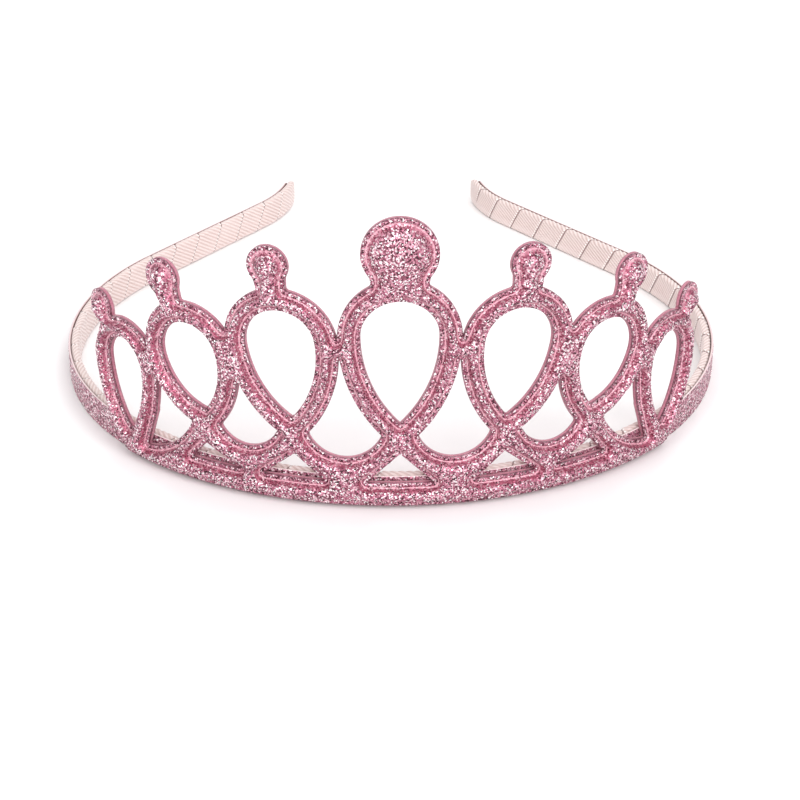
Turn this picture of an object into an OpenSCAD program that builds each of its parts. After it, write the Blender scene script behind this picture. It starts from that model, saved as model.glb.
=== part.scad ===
// Mini crown headband: a horseshoe hairband wrapped in ribbon, a glitter strip on its
// outer face, and a pierced, padded crown that stands on the band's front.
// The crown is drawn flat, as it is cut, and then laid on the cylinder that the band's
// front follows. Flat places are x, millimetres along the band from the front centre,
// and z, the height over the surface that the headband rests on.

/* [Band] */
// Widest width over the glitter strip
band_span = 125; // [110:1:145]
// Angle from the front centre at which each arm turns straight
arm_angle = 126; // [120:1:130]
// Length of each arm's straight stretch
arm_length = 38; // [30:1:42]
// Radius of the outward flare before each tip
flare_radius = 31; // [25:1:45]
// Angle that the flare turns through
flare_angle = 31; // [15:1:35]
// Height of the wrapped band
band_height = 5.8; // [5:0.1:8]
// Thickness of the wrapped band
band_thickness = 1.6; // [1.2:0.1:2]
// Rounding of the wrapped band's long edges
band_edge = 0.5; // [0.3:0.1:0.55]
// Rounding of the corners at each tip
tip_corner = 2.2; // [1:0.1:2.5]

/* [Glitter strip] */
// Thickness of the glitter strip
strip_thickness = 0.45; // [0.3:0.05:0.6]
// Height of the glitter strip
strip_height = 5.4; // [4.6:0.1:5.6]
// Length of band left bare at each tip
strip_setback = 0.9; // [0.5:0.1:3]

/* [Crown] */
// Height of the crown's highest bead over the surface
crown_height = 52.4; // [51:0.2:54]
// Length along the band from the front centre to the crown's outermost bead
crown_reach = 62.2; // [61:0.2:64]
// Width of the cut strands
strand = 3.7; // [3.4:0.1:4]
// Height of the lower edge of the base bar
bar_bottom = 0.6; // [0.3:0.1:1]
// Height of the upper edge of the base bar
bar_top = 4.9; // [4.6:0.1:5.2]
// Thickness of the felt backing
felt_thickness = 0.6; // [0.5:0.05:0.8]
// Thickness of the pressed glitter flange
flange_thickness = 0.45; // [0.4:0.05:0.6]
// Rise of the padded face above the flange
pad_rise = 1.4; // [1:0.1:1.8]
// Width of the pressed flange along every edge
flange_width = 0.9; // [0.7:0.05:1]

/* [Fits] */
// Gap between glued pieces
glue_gap = 0.05; // [0.03:0.01:0.1]

/* [Hidden] */
$fn = 96;

// The tables below hold shares: places along the band, and the openings' radii, by which
// neighbouring loops touch, are shares of crown_reach. The rest are shares of crown_height.

// Columns of LOOPS: the centre of the loop's head, the radius of its opening, the
// opening's lowest point, the centre and radius of its bead, and half the bead's neck.
HEAD_X = 0;
HEAD_Z = 1;
OPEN_R = 2;
FOOT_X = 3;
FOOT_Z = 4;
BEAD_X = 5;
BEAD_Z = 6;
BEAD_R = 7;
NECK = 8;
// Where a neck's sides spread and end, as shares of the bead's radius: the depth under
// the bead's centre at which they start to spread, half the neck's width at its top, and
// the depth of the top under the bead's centre.
NECK_WAIST = 0.8;
NECK_SPREAD = 0.82;
NECK_TOP = 0.3;
LOOPS = sized([
    [0, 0.6031, 0.1029, 0, 0.3053, 0, 0.8798, 0.1202, 0.1011],
    [0.3183, 0.5592, 0.0965, 0.2878, 0.3073, 0.3457, 0.8187, 0.0668, 0.0477],
    [0.5949, 0.4637, 0.09, 0.5434, 0.2824, 0.6736, 0.7042, 0.0649, 0.042],
    [0.8441, 0.3435, 0.074, 0.828, 0.105, 0.9486, 0.5038, 0.0611, 0.0363],
], [HEAD_X, OPEN_R, FOOT_X, BEAD_X]);

// Columns of SWAGS: the centre and radius of the round hollow over each swag, and the
// stretch of x that the swag fills under it.
GAP_X = 0;
GAP_Z = 1;
GAP_R = 2;
FROM_X = 3;
TO_X = 4;
SWAGS = sized([
    [0.1479, 0.3053, 0.126, -0.0161, 0.3087],
    [0.4196, 0.2958, 0.1126, 0.2765, 0.5788],
    [0.7894, 0.3359, 0.2634, 0.5707, 0.7974],
], [GAP_X, FROM_X, TO_X]);

// Columns of PEEPS, the small triangular holes over the base bar: the apex, and the x of
// the two corners that lie on the bar. The first is on the crown's middle.
APEX_X = 0;
APEX_Z = 1;
LEFT_X = 2;
RIGHT_X = 3;
PEEPS = sized([
    [0, 0.1985, -0.0916, 0.0916],
    [0.283, 0.1813, 0.201, 0.3746],
    [0.545, 0.1603, 0.4373, 0.5949],
], [APEX_X, LEFT_X, RIGHT_X]);

// The last loop's inner leg, which runs straighter than its opening: the x and z of its
// two ends.
END_X = 0;
LEG = sized([
    [0.746, 0.229],
    [0.8023, 0.042],
], [END_X]);

band_radius = band_span / 2;
strip_inner = -strip_thickness;
band_outer = strip_inner - glue_gap;
band_inner = band_outer - band_thickness;
felt_inner = glue_gap;
felt_outer = felt_inner + felt_thickness;
face_inner = felt_outer + glue_gap;
flange_outer = face_inner + flange_thickness;
pad_outer = flange_outer + pad_rise;
pad_root = face_inner + flange_thickness / 2;

// Plan of the band, round the front cylinder's axis. Arms start at arm_start.
arm_start = band_radius * [sin(arm_angle), -cos(arm_angle)];
arm_end = arm_start + arm_length * [cos(arm_angle), sin(arm_angle)];
flare_centre = arm_end + flare_radius * [sin(arm_angle), -cos(arm_angle)];
tip_angle = arm_angle - flare_angle;
tip = flare_centre - flare_radius * [sin(tip_angle), -cos(tip_angle)];

// The origin is under the middle of the whole headband's box.
front_y = -(band_radius + pad_outer);
axis_y = -(front_y + tip[1]) / 2;
cut_over = 1;
wall_top = crown_height + cut_over;
wall_end = LOOPS[3][BEAD_X] + 2 * LOOPS[3][BEAD_R];
bar_end = LOOPS[3][FOOT_X] + strand / 2;
cut_depth = 2 * (pad_outer + strand);
swag_drop = 2.4;
peep_dip = 1;
peep_side = 0.3;
join_step = 0.01;
join_run = 0.5;

// Rows of shares made millimetres: the named columns by crown_reach, the rest by
// crown_height.
function sized(rows, along) =
    [for (r = rows) [for (i = [0:len(r) - 1]) r[i] * (search(i, along) ? crown_reach : crown_height)]];
function across(x) = x / band_radius * 180 / PI;
function lean(l) = atan2(l[HEAD_X] - l[FOOT_X], l[HEAD_Z] - l[FOOT_Z]);
function drop_length(l) = norm([l[HEAD_X] - l[FOOT_X], l[HEAD_Z] - l[FOOT_Z]]);
function side_shift(l) = (pow(drop_length(l), 2) - pow(l[OPEN_R], 2)) / (2 * l[OPEN_R]);

// Distance from a triangle's base on the bar to its inscribed centre, as [x, height, radius].
function peep_centre(p) =
    let (
        a = [p[LEFT_X], bar_top],
        b = [p[RIGHT_X], bar_top],
        c = [p[APEX_X], p[APEX_Z]],
        ab = norm(a - b),
        bc = norm(b - c),
        ca = norm(c - a),
        round = ab + bc + ca,
        middle = (bc * a + ca * b + ab * c) / round
    )
    [middle[0], middle[1], ab * (p[APEX_Z] - bar_top) / round];

// Moves to the front cylinder's axis.
module about_axis() {
    translate([0, axis_y, 0]) children();
}

module mirrored_too() {
    children();
    mirror([1, 0, 0]) children();
}

// Wall of the front cylinder between two offsets from the glitter strip's outer face.
module front_wall(inner, outer, angle, low, high) {
    rotate_extrude(angle = 2 * angle, start = -90 - angle)
        translate([band_radius + inner, low]) square([outer - inner, high - low]);
}

// Cuts a flat shape through the wall at the place x, square to the wall there.
module at_place(x) {
    rotate([0, 0, across(x)])
        translate([0, -band_radius + cut_depth / 2, 0])
            rotate([90, 0, 0])
                linear_extrude(cut_depth) translate([-x, 0]) children();
}

// A drop with a round head and two long curved sides that meet in a point below. The
// sides stand join_step clear of the head where they meet it.
module drop(l, grow) {
    shift = side_shift(l);
    side = l[OPEN_R] + shift + grow + join_step;
    translate([l[HEAD_X], l[HEAD_Z]]) rotate(-lean(l)) {
        circle(l[OPEN_R] + grow);
        intersection() {
            translate([-shift, 0]) circle(side);
            translate([shift, 0]) circle(side);
            translate([-side, -side - side]) square(side + side);
        }
    }
}

// A bead on its neck, over the top of a loop.
module bead(l, inset) {
    head = [l[HEAD_X], l[HEAD_Z]];
    middle = [l[BEAD_X], l[BEAD_Z]];
    away = middle - head;
    turn = atan2(away[0], away[1]);
    reach = norm(away);
    root = l[OPEN_R] + strand / 2;
    neck_at = min(l[OPEN_R] + strand, reach - l[BEAD_R] * NECK_WAIST);
    shoulder = l[BEAD_R] - inset;
    neck = l[NECK] - inset;
    top = reach - shoulder * NECK_TOP;
    half_top = shoulder * NECK_SPREAD;
    translate(middle) circle(shoulder);
    translate(head) rotate(-turn)
        polygon([
            [-neck, root], [neck, root], [neck, neck_at],
            [half_top, top], [-half_top, top], [-neck, neck_at],
        ]);
}

// One loop with its bead, pierced by its opening. The inset draws the padded part.
module loop_shape(l, inset) {
    difference() {
        union() {
            drop(l, strand - inset);
            bead(l, inset);
        }
        drop(l, inset);
    }
}

// The filling under a swag's hollow, down into the base bar.
module swag_block(s) {
    low = bar_bottom + strand / 2;
    high = s[GAP_Z] - swag_drop;
    translate([s[FROM_X], low]) square([s[TO_X] - s[FROM_X], high - low]);
}

module swag_hollow(s, inset) {
    translate([s[GAP_X], s[GAP_Z]]) circle(s[GAP_R] + inset);
}

// A triangular hole, grown by the inset about the centre of its inscribed circle. Its
// sides run on down to peep_dip under the bar's upper edge, and the bar closes it. The
// grown sharp corners end peep_side past the inset.
module peep(p, inset) {
    c = peep_centre(p);
    middle = [c[0], c[1]];
    grow = (c[2] + inset) / c[2];
    apex = middle + grow * ([p[APEX_X], p[APEX_Z]] - middle);
    reach = 1 + peep_dip / (grow * (p[APEX_Z] - bar_top));
    base = [for (x = [p[LEFT_X], p[RIGHT_X]]) middle + grow * ([x, bar_top] - middle)];
    left = p[LEFT_X] - inset - peep_side;
    right = p[RIGHT_X] + inset + peep_side;
    intersection() {
        polygon([apex, for (q = base) apex + reach * (q - apex)]);
        translate([left, 0]) square([right - left, apex[1] + strand]);
    }
}

module leg(inset) {
    run = LEG[1] - LEG[0];
    half = strand / 2 - inset;
    translate(LEG[0]) rotate(atan2(run[1], run[0])) translate([0, -half]) square([norm(run), 2 * half]);
}

// Everything of the crown below the loops: base bar, swags, hollows and triangles.
module crown_base(inset) {
    difference() {
        union() {
            front_wall(-cut_over, pad_outer + cut_over, across(bar_end - inset), 0, bar_top - inset);
            difference() {
                for (s = SWAGS) mirrored_too() at_place(s[GAP_X]) swag_block(s);
                for (p = [PEEPS[1], PEEPS[2]]) mirrored_too() at_place(p[APEX_X]) peep(p, inset);
                at_place(0) peep(PEEPS[0], inset);
            }
        }
        for (s = SWAGS) mirrored_too() at_place(s[GAP_X]) swag_hollow(s, inset);
    }
}

// The whole cut pattern, as thick blocks that stand across the wall.
module crown_cut(inset) {
    crown_base(inset);
    at_place(0) loop_shape(LOOPS[0], inset);
    for (l = [LOOPS[1], LOOPS[2], LOOPS[3]]) mirrored_too() at_place(l[HEAD_X]) loop_shape(l, inset);
    mirrored_too() at_place(LEG[0][0]) leg(inset);
}

// One layer of the crown between two offsets.
module crown_layer(inner, outer, inset) {
    intersection() {
        front_wall(inner, outer, across(wall_end), bar_bottom + inset, wall_top);
        crown_cut(inset);
    }
}

// Places two cross-sections, drawn with x as the offset and y as the height, along the
// whole horseshoe. The first is on the bent stretches. The second, smaller by join_step,
// is on the straight ones, which run into the bent ones by join_run. The setback is left
// off at each tip.
module along_band(setback) {
    cut = setback / flare_radius * 180 / PI;
    rotate_extrude(angle = 2 * arm_angle, start = -90 - arm_angle) translate([band_radius, 0]) children(0);
    mirrored_too() {
        translate([arm_start[0], arm_start[1], 0])
            rotate([0, 0, arm_angle]) translate([-join_run, 0, 0]) rotate([90, 0, 90])
                linear_extrude(arm_length + 2 * join_run) mirror([1, 0]) children(1);
        translate([flare_centre[0], flare_centre[1], 0])
            rotate_extrude(angle = flare_angle - cut, start = 90 + arm_angle - flare_angle + cut)
                translate([flare_radius, 0]) mirror([1, 0]) children(0);
    }
}

// What is cut off the corners of each tip, so that it ends round.
module tip_corners(height, setback, radius) {
    back = tip_angle + setback / flare_radius * 180 / PI;
    mirrored_too()
        translate([flare_centre[0], flare_centre[1], 0]) rotate([0, 0, back])
            translate([0, flare_radius + cut_depth / 2, 0]) rotate([90, 0, 0]) linear_extrude(cut_depth)
                for (side = [0, 1]) translate([0, height / 2]) mirror([0, side]) translate([0, -height / 2])
                    difference() {
                        translate([-radius, -cut_over]) square(radius + cut_over);
                        translate([-radius, radius]) circle(radius);
                    }
}

// Cross-section of the wrapped band, with its long edges rounded.
module band_section(step) {
    edge = band_edge - step;
    wide = band_thickness - 2 * band_edge;
    high = band_height - 2 * band_edge;
    translate([band_inner + band_edge, band_edge]) {
        translate([0, -edge]) square([wide, high + 2 * edge]);
        translate([-edge, 0]) square([wide + 2 * edge, high]);
        for (x = [0, wide]) for (y = [0, high]) translate([x, y]) circle(edge);
    }
}

module strip_section(step) {
    low = (band_height - strip_height) / 2;
    translate([strip_inner + step, low + step]) square([strip_thickness - 2 * step, strip_height - 2 * step]);
}

module wrapped_band() {
    color("mistyrose") about_axis() difference() {
        along_band(0) {
            band_section(0);
            band_section(join_step);
        }
        tip_corners(band_height, 0, tip_corner);
    }
}

module glitter_strip() {
    low = (band_height - strip_height) / 2;
    color("palevioletred") about_axis() difference() {
        along_band(strip_setback) {
            strip_section(0);
            strip_section(join_step);
        }
        translate([0, 0, low]) tip_corners(strip_height, strip_setback, tip_corner);
    }
}

module crown_backing() {
    color("hotpink") about_axis() crown_layer(felt_inner, felt_outer, 0);
}

module crown_face() {
    color("palevioletred") about_axis() {
        crown_layer(face_inner, flange_outer, 0);
        crown_layer(pad_root, pad_outer, flange_width);
    }
}

wrapped_band();
glitter_strip();
crown_backing();
crown_face();
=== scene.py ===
"""Mini crown headband: a ribbon-wound hairband, a glitter strip on its outer face, and a padded glitter crown."""

import logging
import math
from collections import Counter
from collections.abc import Callable, Iterable
from dataclasses import asdict, dataclass, field
from enum import Enum

import bmesh
import bpy
import numpy as np
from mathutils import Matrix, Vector, geometry, kdtree

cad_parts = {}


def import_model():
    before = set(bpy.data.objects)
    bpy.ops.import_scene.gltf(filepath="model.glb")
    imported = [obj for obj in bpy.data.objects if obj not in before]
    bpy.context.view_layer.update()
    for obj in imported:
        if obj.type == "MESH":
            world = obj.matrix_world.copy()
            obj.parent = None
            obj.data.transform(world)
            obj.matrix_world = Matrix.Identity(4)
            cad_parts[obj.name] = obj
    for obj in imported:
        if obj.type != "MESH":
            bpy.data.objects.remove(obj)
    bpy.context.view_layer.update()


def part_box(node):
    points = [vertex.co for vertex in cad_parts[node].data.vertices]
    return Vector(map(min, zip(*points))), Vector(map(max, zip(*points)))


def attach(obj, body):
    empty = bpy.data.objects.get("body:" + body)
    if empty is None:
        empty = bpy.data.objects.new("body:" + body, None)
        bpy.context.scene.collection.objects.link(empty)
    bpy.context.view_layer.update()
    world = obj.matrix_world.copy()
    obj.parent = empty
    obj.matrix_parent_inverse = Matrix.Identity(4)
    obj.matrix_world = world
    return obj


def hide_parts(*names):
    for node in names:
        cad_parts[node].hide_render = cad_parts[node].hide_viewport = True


MM = 0.001
BODY = "root"
IMAGE_PX = 800
SENSOR_MM = 36.0
WELD_MM = 0.002
MATH = "ShaderNodeMath"
VECTOR_MATH = "ShaderNodeVectorMath"
# Rows with these two give the range to map from, and the range to map to where it isn't 0 to 1.
SMOOTH = ("ShaderNodeMapRange", {"interpolation_type": "SMOOTHSTEP"})
EVEN = ("ShaderNodeMapRange", {"clamp": True})
NAMED = "GeometryNodeInputNamedAttribute"
STORE = "GeometryNodeStoreNamedAttribute"

Tree, Socket = bpy.types.NodeTree, bpy.types.NodeSocket
Piece, Finish = bpy.types.Object, bpy.types.Material

log = logging.getLogger("mini_crown_headband")


class Slot(Enum):
    """Names of the material slots."""

    RIBBON = "ribbon"
    GLITTER = "glitter"
    FELT = "felt"


def linear(hex_code: str) -> tuple[float, float, float, float]:
    """Turn an sRGB hex colour into Blender's linear RGBA.

    Args:
        hex_code: six hex digits after a hash sign.

    Returns:
        The linear red, green and blue, with alpha 1.
    """
    shares = [int(hex_code[i : i + 2], 16) / 255 for i in (1, 3, 5)]
    red, green, blue = [c / 12.92 if c <= 0.04045 else ((c + 0.055) / 1.055) ** 2.4 for c in shares]
    return red, green, blue, 1.0


def add_node(tree: Tree, kind: str, settings: dict | None = None, links: dict | None = None) -> bpy.types.Node:
    """Add one node to a tree, with its settings and its links.

    Args:
        tree: the node tree.
        kind: the node's type name.
        settings: the node's own properties, by name.
        links: what each input takes, by its name or place: an output socket, or a plain value.

    Returns:
        The new node.
    """
    node = tree.nodes.new(kind)
    for name, value in (settings or {}).items():
        setattr(node, name, value)
    for key, value in (links or {}).items():
        if isinstance(value, Socket):
            tree.links.new(value, node.inputs[key])
        else:
            node.inputs[key].default_value = value
    return node


def wire(tree: Tree, known: dict, rows: Iterable[tuple]) -> dict:
    """Add a table of nodes, row by row, where later rows may use earlier ones.

    Args:
        tree: the node tree.
        known: output sockets and values by name, which the new rows join.
        rows: each row's name, the Math node's operation or a node type with its settings, and the
            inputs in their order. An input is a plain value, the name of a row or known value, or
            None where it is left alone.

    Returns:
        The same dictionary, with each row's first output under its name.
    """
    for name, operation, inputs in rows:
        kind, settings = (MATH, {"operation": operation}) if isinstance(operation, str) else operation
        terms = {i: known[t] if isinstance(t, str) else t for i, t in enumerate(inputs) if t is not None}
        known[name] = add_node(tree, kind, settings, terms).outputs[0]
    return known


def new_tree(name: str, sizes: Iterable[str], objects: Iterable[str] = ()) -> tuple[Tree, dict]:
    """Start a Geometry Nodes tree with named inputs.

    Args:
        name: the tree's name.
        sizes: names of its number inputs.
        objects: names of its object inputs.

    Returns:
        The tree, and its input sockets by name.
    """
    tree = bpy.data.node_groups.new(name, "GeometryNodeTree")
    kinds = [("Geometry", "Geometry"), *((s, "Float") for s in sizes), *((o, "Object") for o in objects)]
    kinds.append(("Material", "Material"))
    for label, kind in kinds:
        tree.interface.new_socket(name=label, in_out="INPUT", socket_type=f"NodeSocket{kind}")
    tree.interface.new_socket(name="Geometry", in_out="OUTPUT", socket_type="NodeSocketGeometry")
    start = add_node(tree, "NodeGroupInput")
    return tree, {label: start.outputs[label] for label, _ in kinds}


def end_tree(tree: Tree, shape: Socket, material: Socket) -> None:
    """End a Geometry Nodes tree with real geometry and its material.

    Args:
        tree: the tree.
        shape: the geometry to give out.
        material: the material input.
    """
    real = add_node(tree, "GeometryNodeRealizeInstances", None, {"Geometry": shape})
    dressed = add_node(tree, "GeometryNodeSetMaterial", None, {"Geometry": real.outputs[0], "Material": material})
    add_node(tree, "NodeGroupOutput", None, {0: dressed.outputs[0]})


def new_material(name: str, marks: Iterable[str] = ()) -> tuple[Finish, Tree, dict]:
    """Start a material with an empty tree.

    Args:
        name: the material's name.
        marks: attributes of the mesh that it reads.

    Returns:
        The material, its tree, and sockets by name: the place in the object, and each mark.
    """
    material = bpy.data.materials.new(name)
    material.use_nodes = True
    tree = material.node_tree
    tree.nodes.clear()
    known = {"place": add_node(tree, "ShaderNodeTexCoord").outputs["Object"]}
    for label in marks:
        known[label] = add_node(tree, "ShaderNodeAttribute", {"attribute_name": label}).outputs["Fac"]
    return material, tree, known


def end_material(tree: Tree, values: dict) -> None:
    """End a material's tree with its surface.

    Args:
        tree: the tree.
        values: the surface's inputs by name.
    """
    surface = add_node(tree, "ShaderNodeBsdfPrincipled", None, values)
    add_node(tree, "ShaderNodeOutputMaterial", None, {"Surface": surface.outputs[0]})


def grown(name: str, source: Piece, tree: Tree, values: dict) -> Piece:
    """Run a Geometry Nodes tree on an object and keep the result as a plain mesh.

    Args:
        name: the new piece's name.
        source: the object that the tree works on, which is removed afterwards.
        tree: the tree.
        values: the tree's inputs by name.

    Returns:
        The new mesh object, at the origin, with no modifier.
    """
    modifier = source.modifiers.new(name, "NODES")
    modifier.node_group = tree
    for item in tree.interface.items_tree:
        if item.in_out == "INPUT" and item.name in values:
            modifier[item.identifier] = values[item.name]
    evaluated = source.evaluated_get(bpy.context.evaluated_depsgraph_get())
    mesh = bpy.data.meshes.new_from_object(evaluated)
    source.modifiers.remove(modifier)
    bpy.data.objects.remove(source)
    mesh.name = name
    return placed(name, mesh)


def placed(name: str, data: bpy.types.ID) -> Piece:
    """Put data into the scene as an object at the origin."""
    piece = bpy.data.objects.new(name, data)
    bpy.context.scene.collection.objects.link(piece)
    return piece


def poly_line(name: str, points: np.ndarray, closed: bool) -> Piece:
    """Make a curve object of straight stretches.

    Args:
        name: its name.
        points: rows of x, y, z in metres.
        closed: whether it joins up with its start.

    Returns:
        The curve object.
    """
    curve = bpy.data.curves.new(name, "CURVE")
    curve.dimensions = "3D"
    spline = curve.splines.new("POLY")
    spline.points.add(len(points) - 1)
    spline.points.foreach_set("co", np.c_[points, np.ones(len(points))].ravel())
    spline.use_cyclic_u = closed
    return placed(name, curve)


def add_weights(mesh: bpy.types.Mesh, weights: dict[str, np.ndarray]) -> None:
    """Store numbers for each point of a mesh, by attribute name."""
    for label, values in weights.items():
        mesh.attributes.new(label, "FLOAT", "POINT").data.foreach_set("value", values.astype(np.float32))


def solid_mesh(name: str, points: np.ndarray, faces: list, weights: dict[str, np.ndarray], material: Finish) -> Piece:
    """Make a closed, smooth mesh object whose faces point outwards.

    Args:
        name: its name.
        points: rows of x, y, z in millimetres.
        faces: each face's corners.
        weights: numbers for each point, by attribute name.
        material: its finish.

    Returns:
        The mesh object.
    """
    mesh = bpy.data.meshes.new(name)
    mesh.from_pydata((points * MM).tolist(), [], faces)
    add_weights(mesh, weights)
    shape = bmesh.new()
    shape.from_mesh(mesh)
    bmesh.ops.remove_doubles(shape, verts=shape.verts, dist=WELD_MM * MM)
    bmesh.ops.recalc_face_normals(shape, faces=shape.faces)
    shape.to_mesh(mesh)
    shape.free()
    mesh.shade_smooth()
    mesh.materials.append(material)
    return placed(name, mesh)


def smoothstep(low: float, high: float, x: np.ndarray) -> np.ndarray:
    """Rise smoothly from 0 at low to 1 at high."""
    t = np.clip((x - low) / (high - low), 0, 1)
    return t * t * (3 - 2 * t)


# Rows that both the winding's shape and its cloth use. A turn of ribbon is Pitch long on the
# band and goes once round its Perimeter, so seams and ribs follow from the two.
HELIX_ROWS = (
    ("turns", "DIVIDE", ("along", "Pitch")),
    ("laps", "DIVIDE", ("around", "Perimeter")),
    ("phase", "ADD", ("turns", "laps")),
    ("turn", "FLOOR", ("phase",)),
    ("share", "SUBTRACT", ("phase", "turn")),
    ("unrolled", "MULTIPLY", ("turn", "Perimeter")),
    ("round", "SUBTRACT", ("around", "unrolled")),
    ("pitch squared", "MULTIPLY", ("Pitch", "Pitch")),
    ("turn squared", "MULTIPLY_ADD", ("Perimeter", "Perimeter", "pitch squared")),
    ("turn length", "SQRT", ("turn squared",)),
    ("down", "MULTIPLY", ("round", "Perimeter")),
    ("ahead", "MULTIPLY", ("along", "Pitch")),
    ("ribbon area", "SUBTRACT", ("ahead", "down")),
    ("ribbon length", "DIVIDE", ("ribbon area", "turn length")),
    ("rib count", "DIVIDE", ("ribbon length", "Rib spacing")),
    ("rib angle", "MULTIPLY", ("rib count", math.tau)),
    ("rib wave", "COSINE", ("rib angle",)),
    ("ridge", "MULTIPLY_ADD", ("rib wave", 0.5, 0.5)),
)

# Rows that both use to fade the ribs towards the lower edge, from higher up on the right arm.
FADE_ROWS = (
    ("right side", SMOOTH, ("X", -15 * MM, 15 * MM)),
    ("smooth to", "MULTIPLY_ADD", ("right side", 1.4 * MM, 1.0 * MM)),
    ("ribs from", "MULTIPLY", ("smooth to", 0.5)),
)

# Rows of the cloth's colour: painted shade lines at the seams, painted highlights on the picots, and ribs with painted
# shade between them, under threads and clouds.
CLOTH_ROWS = (
    *HELIX_ROWS,
    ("wound", SMOOTH, ("tip", "wound from", "Tip cover")),
    # Painted shade in each seam's crease, on both sides of it.
    ("edge after", SMOOTH, ("share", 0.008, 0.026, 1.0, 0.0)),
    ("edge before", SMOOTH, ("share", 0.968, 0.986)),
    ("seam line", "MAXIMUM", ("edge after", "edge before")),
    ("seam shade", "MULTIPLY", ("seam line", "wound")),
    # Painted highlight on the picot loops.
    ("picot row", SMOOTH, ("share", 0.03, 0.1, 1.0, 0.0)),
    ("picot dot", SMOOTH, ("ridge", 0.35, 0.8)),
    ("picots", "MULTIPLY", ("picot row", "picot dot")),
    ("picot highlight", "MULTIPLY", ("picots", "wound")),
    # Painted shade between the ribs, lightened where the ribbon is smooth and under the clouds.
    ("ridge flat", SMOOTH, ("ridge", 0.1, 0.75)),
    *FADE_ROWS,
    ("smooth low", SMOOTH, ("Z", "ribs from", "smooth to", 0.72, 0.0)),
    ("cloud tone", "MULTIPLY_ADD", ("cloudy", 0.8, -0.15)),
    ("faded", "MAXIMUM", ("cloud tone", "smooth low")),
    ("ridge tone", "MAXIMUM", ("ridge flat", "faded")),
    ("thread tone", "MULTIPLY", ("threads", 0.25)),
    ("tone", "SUBTRACT", ("ridge tone", "thread tone")),
    ("relief", "MULTIPLY_ADD", ("threads", 0.3, "ridge flat")),
)

# Rows along the path: how far each point is from the nearer tip, and the section's scale, which
# rounds the tip's edge.
TIP_ROWS = (
    ("rest", "SUBTRACT", ("whole", "length")),
    ("from tip", "MINIMUM", ("length", "rest")),
    ("near", EVEN, ("from tip", 0.0, "Tip round", 1.0, 0.0)),
    ("near squared", "MULTIPLY", ("near", "near")),
    ("left over", "SUBTRACT", (1.03, "near squared")),
    ("plump", "SQRT", ("left over",)),
    ("scale", "MINIMUM", ("plump", 1.0)),
)

# Rows that round the tip's corners, seen from outside: the height shrinks as a quarter circle does.
CORNER_ROWS = (
    ("corner near", EVEN, ("tip", 0.0, "Tip corner", 1.0, 0.0)),
    ("corner squared", "MULTIPLY", ("corner near", "corner near")),
    ("corner left", "SUBTRACT", (1.0, "corner squared")),
    ("corner bend", "SQRT", ("corner left",)),
    ("corner lost", "SUBTRACT", (1.0, "corner bend")),
    ("half height", "MULTIPLY", ("Height", 0.5)),
    ("corner share", "DIVIDE", ("Tip corner", "half height")),
    ("height lost", "MULTIPLY", ("corner lost", "corner share")),
    ("height kept", "SUBTRACT", (1.0, "height lost")),
    ("up", "SUBTRACT", ("Z", "Middle")),
    ("narrowed", "MULTIPLY_ADD", ("up", "height kept", "Middle")),
)

# Rows of the winding's relief: each turn's step and crease, its picots, and its ribs, which vary
# from turn to turn.
RELIEF_ROWS = (
    *HELIX_ROWS,
    ("cover start", "MULTIPLY", ("Tip cover", 0.75)),
    ("wound", SMOOTH, ("tip", "cover start", "Tip cover")),
    ("ribbed", SMOOTH, ("tip", 2 * MM, "Tip cover")),
    ("rise", SMOOTH, ("share", 0.0, 0.045)),
    ("fall", SMOOTH, ("share", 0.06, 0.5, 1.0, 0.0)),
    ("on top", "MULTIPLY", ("rise", "fall")),
    ("step height", "MULTIPLY", ("on top", "Seam step")),
    ("dip in", SMOOTH, ("share", 0.955, 1.0)),
    ("dip out", "SUBTRACT", (1.0, "rise")),
    ("crease", "MAXIMUM", ("dip in", "dip out")),
    ("crease depth", "MULTIPLY", ("crease", "Seam gap")),
    ("seam", "SUBTRACT", ("step height", "crease depth")),
    ("picot row", SMOOTH, ("share", 0.03, 0.09, 1.0, 0.0)),
    ("picot dots", "MULTIPLY", ("picot row", "ridge")),
    ("picot height", "MULTIPLY_ADD", ("picot dots", "Picot", "seam")),
    ("seam wound", "MULTIPLY", ("picot height", "wound")),
    ("chance", ("ShaderNodeTexWhiteNoise", {"noise_dimensions": "1D"}), (None, "turn")),
    ("evenness", "MULTIPLY_ADD", ("chance", 0.45, 0.55)),
    ("rib round", "POWER", ("ridge", 0.7)),
    ("open edge", SMOOTH, ("share", 0.93, 0.97, 1.0, 0.0)),
    ("rib kept", "MULTIPLY", ("evenness", "open edge")),
    *FADE_ROWS,
    ("ribbed high", SMOOTH, ("Z", "ribs from", "smooth to", 0.15, 1.0)),
    ("rib kept at tip", "MULTIPLY", ("rib kept", "ribbed")),
    ("rib kept high", "MULTIPLY", ("rib kept at tip", "ribbed high")),
    ("rib up", "MULTIPLY", ("rib round", "rib kept high")),
    ("relief", "MULTIPLY_ADD", ("rib up", "Rib height", "seam wound")),
)


@dataclass(frozen=True)
class ToneSteps:
    """A row of tones with sharp steps between them: where each one starts, and its colour."""

    tones: tuple

    def pick(self, tree: Tree, share: Socket) -> Socket:
        """Give each place the tone that its share, from 0 to 1, falls on.

        Args:
            tree: the material's tree.
            share: the number that picks.

        Returns:
            The colour.
        """
        ramp = add_node(tree, "ShaderNodeValToRGB", None, {"Fac": share})
        ramp.color_ramp.interpolation = "CONSTANT"
        for stop, _ in self.tones[2:]:
            ramp.color_ramp.elements.new(stop)
        for element, (stop, tone) in zip(ramp.color_ramp.elements, self.tones):
            element.position = stop
            element.color = linear(tone)
        return ramp.outputs["Color"]


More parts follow.
